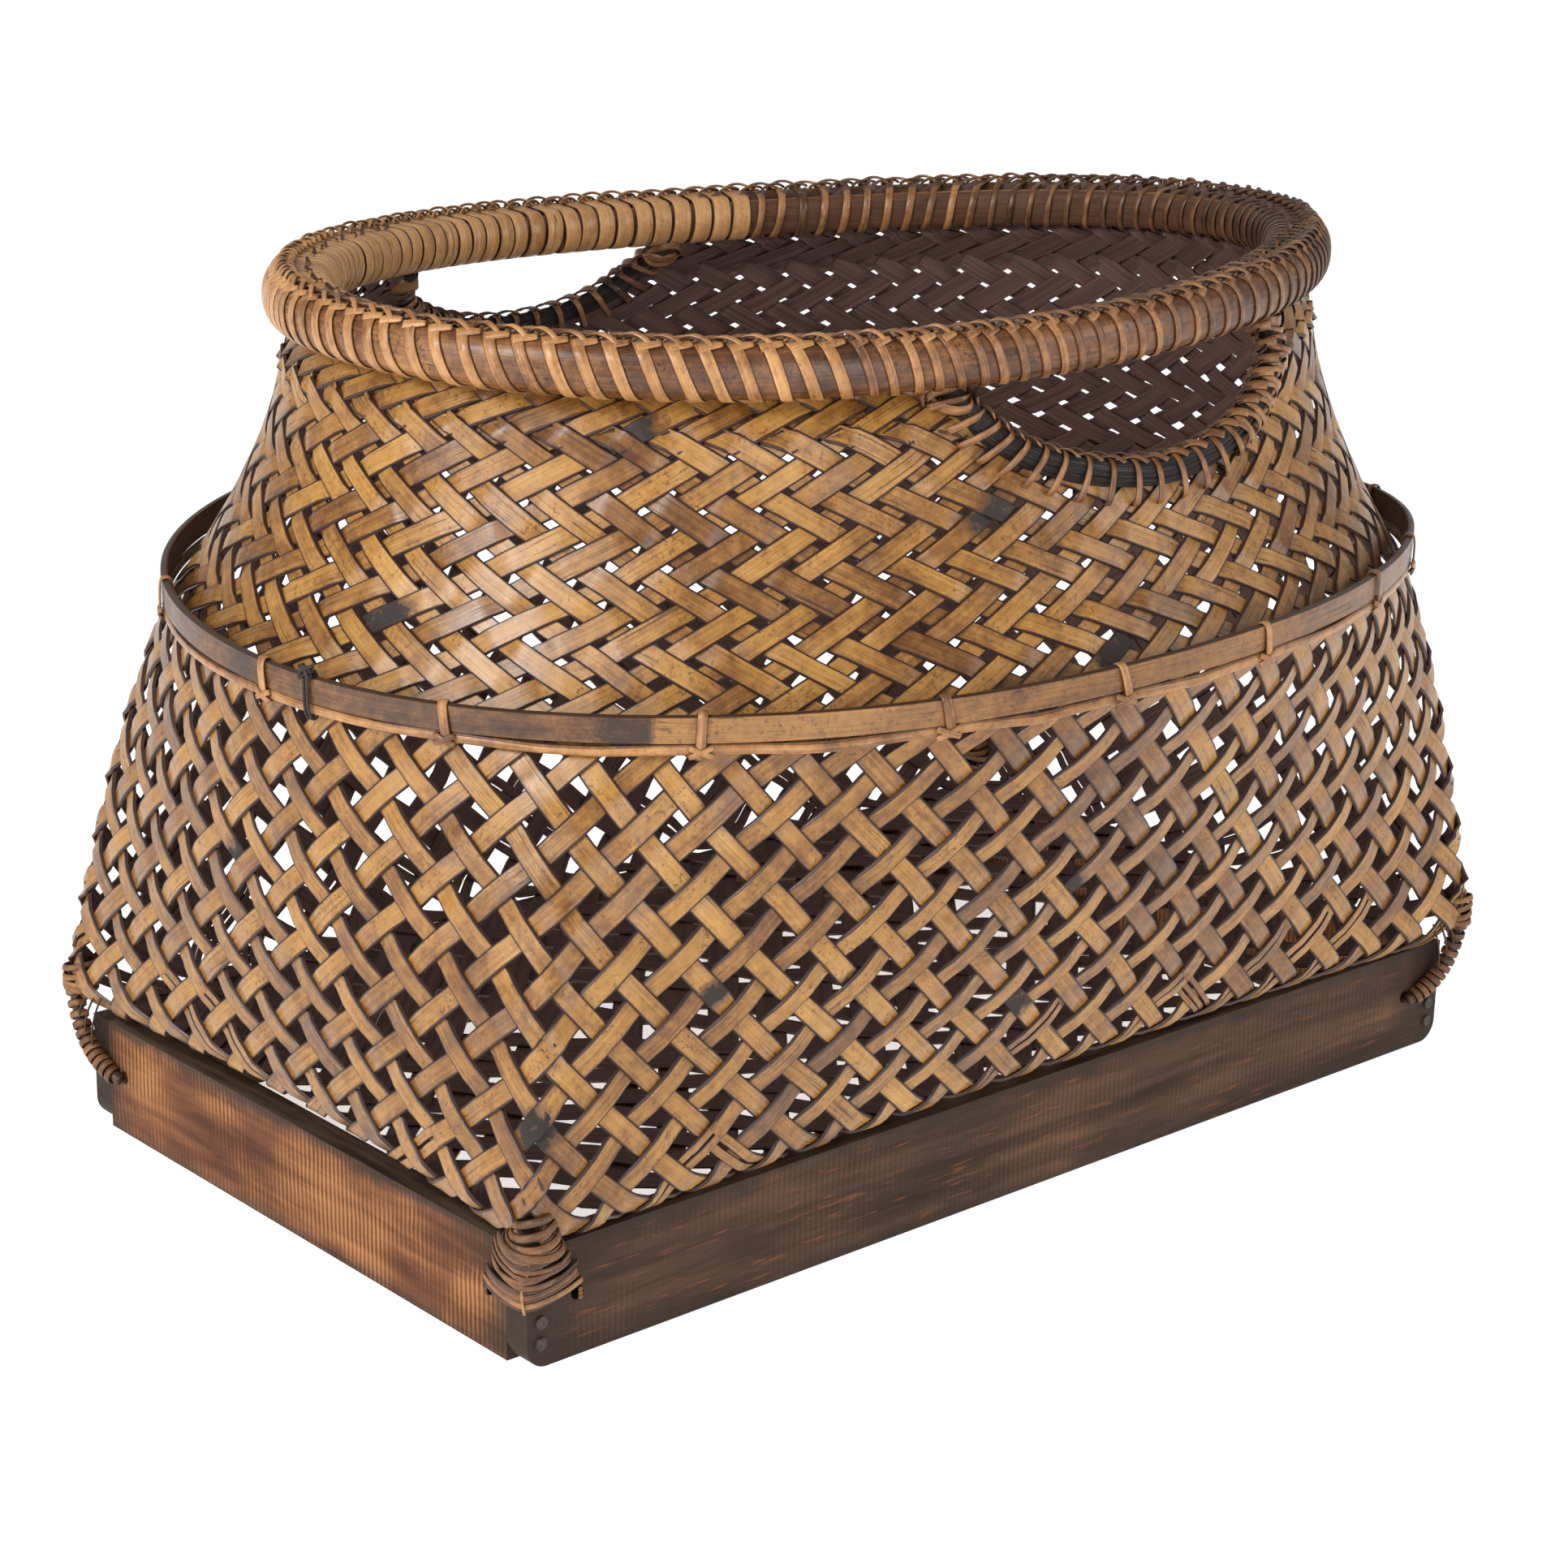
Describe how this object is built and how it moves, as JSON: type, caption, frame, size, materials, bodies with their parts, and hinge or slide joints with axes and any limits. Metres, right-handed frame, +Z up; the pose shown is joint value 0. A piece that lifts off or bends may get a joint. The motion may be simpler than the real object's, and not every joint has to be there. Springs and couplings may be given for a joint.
{
  "type": "woven storage basket",
  "caption": "Deep plaited basket with an oval mouth and a rectangular foot tied to a plank frame, a lashed pole rim, a band round the belly and hand openings under the rim.",
  "frame": {"origin": "Middle of the plank frame's underside, in the plane the basket stands on.", "axes": "+X runs along the long sides of the plank frame, +Y along its short sides, +Z up through the mouth."},
  "size_m": [0.4875, 0.4031, 0.3237],
  "materials": {
    "board_wood": "worn, matt to satin",
    "nail": "dark, rusted",
    "bamboo_strip": "aged, satin",
    "rim_pole": "aged, satin",
    "cane": "aged, satin",
    "hoop_bamboo": "aged, satin",
    "dark_rod": "fibrous, matt",
    "corner_fibre": "fibrous, satin",
    "string": "matt"
  },
  "bodies": {
    "root": {"long_board_front": "board_wood", "long_board_back": "board_wood", "short_board_left": "board_wood", "short_board_right": "board_wood", "board_nails": "nail", "woven_body": "bamboo_strip", "outer_rim_pole": "rim_pole", "inner_rim_hoop": "rim_pole", "rim_braid": "cane", "mid_hoop": "hoop_bamboo", "hoop_cane": "cane", "rim_lashing": "cane", "handle_rod_front": "dark_rod", "handle_lashing_front": "cane", "handle_rod_back": "dark_rod", "handle_lashing_back": "cane", "hoop_ties": "cane", "string_tie": "string", "corner_lashing_front_left": "corner_fibre", "corner_lashing_back_left": "corner_fibre", "corner_lashing_front_right": "corner_fibre", "corner_lashing_back_right": "corner_fibre"}
  },
  "joints": []
}
